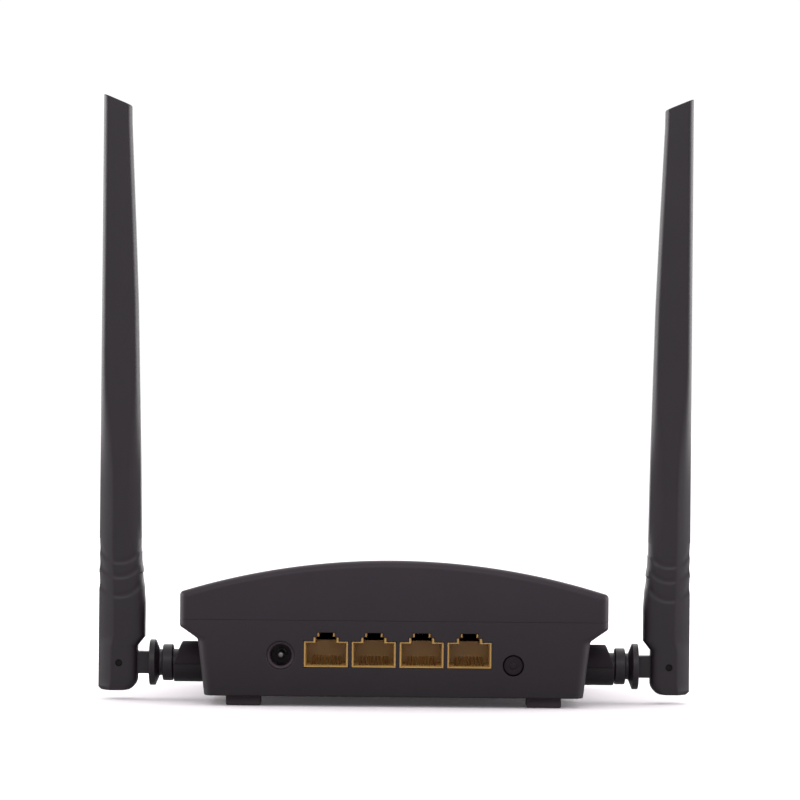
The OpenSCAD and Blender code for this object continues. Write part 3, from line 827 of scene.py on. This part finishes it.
def build_button():
    """The button, from its raised middle out to the flange behind the panel."""
    face = button_low.y + 0.2
    panel = REAR + WALL
    profile = [(button_low.y, 0.0)]
    profile += [(button_low.y, 0.75), (button_low.y + 0.06, 0.92), (button_low.y + 0.16, 1.0)]
    profile += [(face + 0.06, 1.08), (face + 0.08, 1.6), (face, 2.45), (face + 0.05, 2.68)]
    profile += [(face + 0.2, 2.8), (panel + 0.3, 2.8), (panel + 0.3, 3.5), (panel + 1.3, 3.5)]
    profile += [(panel + 1.3, 1.5), (button_high.y, 1.5)]
    knob = lathe("knob", "y", BUTTON, profile, 64)
    dress(knob, "button", "dark_plastic", "reset_button", angle=40)


# ---------- antennas ----------
# The right antenna, in heights above its fold axis and distances outwards from it.
# BLADE_IN lists (height, inner edge), BLADE_HALF (height, half the thickness).
BLADE_IN = [
    (-4.6, -5.3), (4.9, -5.3), (7.6, -7.4), (17.6, -7.4), (36.6, -6.1), (62.6, -5.7),
    (107.6, -4.6), (165.8, -2.2),
]
BLADE_OUT, BLADE_LOW, BLADE_TIP = 6.2, -8.2, 169.3
BLADE_HALF = [(14.8, 4.5), (BLADE_TIP, 3.0)]
# the foot: its inner edge follows a circle below HEEL_Z, its outer corner is cut below TOE_Z
HEEL_Z, HEEL_X, HEEL_R = -4.6, -1.7, 3.6
TOE_Z = -7.2
# the top slants up towards the outer edge; sections start to tilt at SLANT_FROM
SLANT = 3.5 / 8.4
SLANT_FROM, SLANT_TO = 130, 166
# three curved grooves across the grip, by their lowest points
GROOVES = [20.0, 25.7, 30.1]
GROOVE_R, GROOVE_HALF, GROOVE_DEEP = 6.9, 1.3, 0.22
# the flanks are flat bevels up to BEVEL_FROM and rounded edges above BEVEL_TO
BEVEL, BEVEL_FROM, BEVEL_TO = 0.85, 52, 92
# the inner flank stays rounded over the grip and becomes a bevel between these heights
GRIP_FROM, GRIP_TO = 28, 42
# the stem's tongue in the blade's fork
TONGUE_R, TONGUE_HALF, FORK_R = 3.28, 2.1, 3.53


def clamp(value):
    return min(max(value, 0), 1)


def along(table, z):
    """Value at height z from a list of (height, value)."""
    return float(np.interp(z, [p[0] for p in table], [p[1] for p in table]))


def blade_edges(z):
    """Inner and outer edge of the antenna at a height."""
    inner, outer = along(BLADE_IN, z), BLADE_OUT
    if z < HEEL_Z:
        inner = HEEL_X - math.sqrt(max(HEEL_R**2 - (HEEL_Z - z) ** 2, 0))
    if z < TOE_Z:
        outer = BLADE_OUT - (TOE_Z - z)
    return inner, outer


def groove_depth(x, z):
    """How deep the curved grip grooves are at a point of the antenna's face."""
    deepest = 0.0
    for low in GROOVES:
        dz = z - (low + GROOVE_R)
        away = abs(math.hypot(x, dz) - GROOVE_R)
        if dz < 0 and away < GROOVE_HALF:
            sink = GROOVE_DEEP / 2 * (1 + math.cos(math.pi * away / GROOVE_HALF))
            deepest = max(deepest, sink)
    return deepest


def flank_curve(bevel):
    """Points (across, down) from the side to the face, from a round (0) to a flat bevel (1)."""
    curve = []
    for k in range(11):
        t = k / 10
        a = math.radians(90 * t)
        across = (1 - bevel) * (1 - math.cos(a)) + bevel * t
        down = (1 - bevel) * (1 - math.sin(a)) + bevel * (1 - t)
        curve.append((across, down))
    return curve


def blade_outline(z, shrink):
    """Half section (x, y) at a height: from the outer side over the face to the inner side."""
    inner, outer = blade_edges(z)
    inner, outer = inner + shrink, outer - shrink
    half = along(BLADE_HALF, z) - shrink
    width = outer - inner
    blend = clamp((BEVEL_TO - z) / (BEVEL_TO - BEVEL_FROM))
    blend = blend * blend * (3 - 2 * blend)
    grip = clamp((z - GRIP_FROM) / (GRIP_TO - GRIP_FROM))
    flank_out = 1.9 + (0.34 * width - 1.9) * blend
    flank_in = 1.7 + ((0.25 + 0.06 * grip) * width - 1.7) * blend
    drop_out = 2.5 - 0.2 * blend
    drop_in = 2.3 - 0.4 * blend
    points = [(outer, 0.0), (outer, (half - drop_out) * 0.5)]
    for across, down in flank_curve(BEVEL * blend):
        points.append((outer - flank_out * across, half - drop_out * down))
    for k in range(1, 22):
        points.append((outer - flank_out - (width - flank_out - flank_in) * k / 22, half))
    for across, down in flank_curve(BEVEL * blend * grip)[::-1]:
        points.append((inner + flank_in * across, half - drop_in * down))
    return points + [(inner, (half - drop_in) * 0.5), (inner, 0.0)]


def blade_section(z, face, shrink):
    """Ring of one half at a height, with its grooves; face is -1 for the rear, 1 for the front."""
    tilt = clamp((z - SLANT_FROM) / (SLANT_TO - SLANT_FROM))
    points = blade_outline(z, shrink)
    ring = []
    for k, (x, y) in enumerate(points):
        before, after = points[max(k - 1, 0)], points[min(k + 1, len(points) - 1)]
        nx, ny = after[1] - before[1], before[0] - after[0]
        size = math.hypot(nx, ny) or 1
        sink = groove_depth(x, z) / size
        px, py = x - nx * sink, max(y - ny * sink, 0)
        pz = z + tilt * (px - BLADE_OUT) * SLANT
        ring.append((PIVOT + px, STEM_Y + face * py, STEM_Z + pz))
    return ring


def blade_levels():
    """Heights of the antenna's sections, each with how far it stands in for the rounded ends."""
    ends = quarter_round(0.4)
    heights = [-7.5, -7.2, -6.8, -6.3, -5.8, -5.2, -4.6, -2, 1, 4, 4.9]
    heights += [5.6, 6.4, 7.2, 7.6, 8.2, 10, 12, 14, 16]
    heights += [17 + 0.3 * k for k in range(77)]
    heights += [41, 43, 46, 50, 55, 60, 65, 70, 75, 80, 84, 88]
    heights += [92 + 3 * k for k in range(25)]
    levels = [(BLADE_LOW + lift, inset) for lift, inset in ends]
    levels += [(z, 0.0) for z in heights]
    levels += [(BLADE_TIP - inset, lift) for lift, inset in ends]
    return levels


def fork_outline():
    """Room for the tongue as (x, z) about the pivot, open below and towards the case."""
    outline = [(-20, FORK_R)]
    for degrees in range(0, 91, 6):
        a = math.radians(degrees)
        outline.append((FORK_R * math.sin(a), FORK_R * math.cos(a)))
    return outline + [(FORK_R, -20), (-20, -20)]


def build_blade(word, face):
    """One half of each antenna; word tells the halves apart in the names."""
    def span(depth):
        return sorted((STEM_Y - face * 0.5, STEM_Y + face * depth))

    def cavity(x0, x1, z0, z1, depth):
        y0, y1 = span(depth)
        return block("cavity", (PIVOT + x0, y0, STEM_Z + z0), (PIVOT + x1, y1, STEM_Z + z1))

    shell = loft("blade", [blade_section(z, face, shrink) for z, shrink in blade_levels()])
    fork = [[(PIVOT + a, y, STEM_Z + b) for a, b in fork_outline()] for y in span(2.3)]
    combine(shell, [loft("fork", fork)])
    combine(shell, [cavity(-0.8, 4.6, 8, 162, 2)])
    combine(shell, [cavity(-4, -0.5, 3, 12, 1.2)])
    hole = [(y, PIN_HOLE_R) for y in span(6)]
    combine(shell, [lathe("pin", "y", (PIVOT, STEM_Z), hole, 32)])
    left = mirrored(shell, "left")
    for side, obj in (("right", shell), ("left", left)):
        dress(obj, f"{side}_blade_{word}", "antenna_plastic", f"{side}_antenna_{word}_shell")


def build_tongue():
    """The flat tongue on the right stem, round at the pivot."""
    half, edge = TONGUE_HALF, 0.35
    layers = [(-half, edge), (-half + 0.1, 0.12), (-half + edge, 0)]
    layers += [(half - edge, 0), (half - 0.1, 0.12), (half, edge)]
    rings = []
    for y, inset in layers:
        r = TONGUE_R - inset
        outline = [(72, -r), (72, r)]
        for degrees in range(0, 181, 9):
            a = math.radians(degrees)
            outline.append((PIVOT + r * math.sin(a), r * math.cos(a)))
        rings.append([(a, STEM_Y + y, STEM_Z + b) for a, b in outline])
    return loft("tongue", rings)


def build_stems():
    """Both stems, turned as (place along X, radius), each with a tongue and a hole for the lead."""
    shaft, lead = 4, 1.25
    clip = [(stem_low.x, 5.1), (stem_low.x + 0.2, 5.3), (52.8, 5.3), (53, 5.1), (53, shaft)]
    collar = [(65.7, shaft), (65.7, 5), (65.78, 5.25), (66, 5.4), (68.4, 5.4), (68.7, 5.25)]
    collar += [(68.8, 4.95)]
    neck = [(68.85, 4.0), (69.1, 3.9), (69.6, 3.9), (69.8, 4.0)]
    flange = [(70.85, 6.55), (70.95, 6.72), (71.1, 6.8), (72.4, 6.8), (72.6, 6.72), (72.7, 6.5)]
    stem = lathe("stem", "x", (STEM_Y, STEM_Z), clip + collar + neck + flange, 72)
    combine(stem, [build_tongue()], "UNION")
    combine(stem, [lathe("bore", "x", (STEM_Y, STEM_Z), [(50, lead), (PIVOT - 3.4, lead)], 32)])
    pin_hole = [(-30, PIN_HOLE_R), (-10, PIN_HOLE_R)]
    combine(stem, [lathe("hole", "y", (PIVOT, STEM_Z), pin_hole, 32)])
    left = mirrored(stem, "left")
    dress(stem, "right_stem_piece", "antenna_plastic", "right_antenna_stem")
    dress(left, "left_stem_piece", "antenna_plastic", "left_antenna_stem")


build_cover()
build_lower()
for way in (-1, 1):
    build_cap(way)
for socket in PORTS:
    build_port(socket)
    build_contacts(socket)
build_jack()
build_button()
build_blade("rear", -1)
build_blade("front", 1)
build_stems()

# pieces that keep their CAD shape, with the rounding of their edges
EDGES = {
    "rubber_feet": 0.5, "case_screws": 0.15, "rating_label": 0.0, "main_board": 0.1,
    "board_screws": 0.15, "dc_jack_spring": 0.05, "switch_plunger": 0.1, "reset_switch": 0.15,
    "processor_chip": 0.1, "heat_sink": 0.1, "memory_chip": 0.1, "flash_chip": 0.1,
    "crystal": 0.2, "rf_shield": 0.1, "lan_transformers": 0.2, "capacitors": 0.3,
    "power_inductor": 0.3, "board_passives": 0.05, "status_leds": 0.1, "light_pipe": 0.05,
}
slots = {s["node"]: s["material_slot"] for s in frame["record"]["subparts"]}
for name, edge in EDGES.items():
    refined(name, slots[name], edge)
for way in ("left", "right"):
    refined(way + "_hinge_pin", "pin_steel", 0.1)
    refined(way + "_radiator_sleeve", "brass_tube", 0.05)
    refined(way + "_radiator_coax", "cable_jacket", 0.05)
    refined(way + "_coax_lead", "cable_jacket", 0.05)


# ---------- floor, light and camera ----------
# name, place, point it faces, size across and up, all in metres, and power in watts
SOFTBOXES = [
    ("front_softbox", (0.0, -1.0, 0.6), (0, -0.044, 0.05), (1.0, 0.45), 3.1),
    ("left_softbox", (-0.8, 0.2, 0.2), (0, 0.2, 0.1), (0.9, 0.5), 6.5),
    ("right_softbox", (0.8, 0.2, 0.2), (0, 0.2, 0.1), (0.9, 0.5), 6.5),
]
# the world's strength rises from the rear to the front; the camera sees an even backdrop
WORLD_REAR, WORLD_FRONT, WORLD_SEEN = 0.42, 2.0, 1.05
FLOOR_HALF = 40
FLOOR_BOUNCE, FLOOR_GLOW = 0.5, 0.04
EYE, LENS, ROLL = (0.0011, -1.044, 0.0898), 154.2, 0.53


def shown_to_camera(tree, others, camera, output):
    """Sends one shader to the camera's own rays and another to every other ray."""
    seen = tree.nodes.new("ShaderNodeLightPath")
    mix = tree.nodes.new("ShaderNodeMixShader")
    tree.links.new(seen.outputs["Is Camera Ray"], mix.inputs["Fac"])
    tree.links.new(others, mix.inputs[1])
    tree.links.new(camera, mix.inputs[2])
    tree.links.new(mix.outputs["Shader"], tree.nodes[output].inputs["Surface"])


def build_floor():
    """White paper, which lights the router only as a grey floor would."""
    h = FLOOR_HALF
    mesh = bpy.data.meshes.new("floor")
    mesh.from_pydata([(-h, -h, 0), (h, -h, 0), (h, h, 0), (-h, h, 0)], [], [(0, 1, 2, 3)])
    floor = bpy.data.objects.new("floor", mesh)
    bpy.context.scene.collection.objects.link(floor)
    paper = material(
        "studio_floor", (0.95, 0.9, 0.935), 0.8, shift=0.01, patch=3, grain=200, relief=0.05,
        spec=0.05,
    )
    shader = paper.node_tree.nodes["Principled BSDF"]
    shader.inputs["Emission Color"].default_value = (1, 0.93, 0.98, 1)
    shader.inputs["Emission Strength"].default_value = FLOOR_GLOW
    dull = paper.node_tree.nodes.new("ShaderNodeBsdfDiffuse")
    dull.inputs["Color"].default_value = (FLOOR_BOUNCE, FLOOR_BOUNCE, FLOOR_BOUNCE, 1)
    shown_to_camera(
        paper.node_tree, dull.outputs["BSDF"], shader.outputs["BSDF"], "Material Output",
    )
    mesh.materials.append(paper)


def build_world():
    """A white room whose light is strongest from the front, and an even white backdrop."""
    world = bpy.data.worlds.new("studio")
    bpy.context.scene.world = world
    world.use_nodes = True
    nodes, links = world.node_tree.nodes, world.node_tree.links
    room = nodes["Background"]
    room.inputs["Color"].default_value = (1, 1, 1, 1)
    place = nodes.new("ShaderNodeTexCoord")
    split = nodes.new("ShaderNodeSeparateXYZ")
    links.new(place.outputs["Generated"], split.inputs["Vector"])
    light_and_painted_shade = nodes.new("ShaderNodeMapRange")
    light_and_painted_shade.inputs["From Min"].default_value = -1
    light_and_painted_shade.inputs["From Max"].default_value = 1
    light_and_painted_shade.inputs["To Min"].default_value = WORLD_REAR
    light_and_painted_shade.inputs["To Max"].default_value = WORLD_FRONT
    links.new(split.outputs["Y"], light_and_painted_shade.inputs["Value"])
    links.new(light_and_painted_shade.outputs["Result"], room.inputs["Strength"])
    backdrop = nodes.new("ShaderNodeBackground")
    backdrop.inputs["Color"].default_value = (1, 1, 1, 1)
    backdrop.inputs["Strength"].default_value = WORLD_SEEN
    shown_to_camera(
        world.node_tree, room.outputs["Background"], backdrop.outputs["Background"],
        "World Output",
    )


def build_lights():
    for name, spot, target, size, power in SOFTBOXES:
        light = bpy.data.lights.new(name, "AREA")
        light.shape = "RECTANGLE"
        light.size, light.size_y = size
        light.energy = power
        lamp = bpy.data.objects.new(name, light)
        lamp.location = spot
        aim = Vector(target) - Vector(spot)
        lamp.rotation_euler = aim.to_track_quat("-Z", "Y").to_euler()
        lamp.visible_camera = False
        bpy.context.scene.collection.objects.link(lamp)


def build_camera():
    """A metre behind the router, level, with a slight roll."""
    camera = bpy.data.cameras.new("camera")
    camera.sensor_width = 36
    camera.lens = LENS
    camera.clip_start, camera.clip_end = 0.05, 100
    eye = bpy.data.objects.new("camera", camera)
    bpy.context.scene.collection.objects.link(eye)
    roll = Matrix.Rotation(math.radians(ROLL), 4, "Z")
    tilt = Matrix.Rotation(math.radians(90), 4, "X")
    eye.matrix_world = Matrix.Translation(EYE) @ tilt @ roll
    bpy.context.scene.camera = eye
    bpy.context.scene.view_settings.view_transform = "Standard"


build_floor()
build_world()
build_lights()
build_camera()
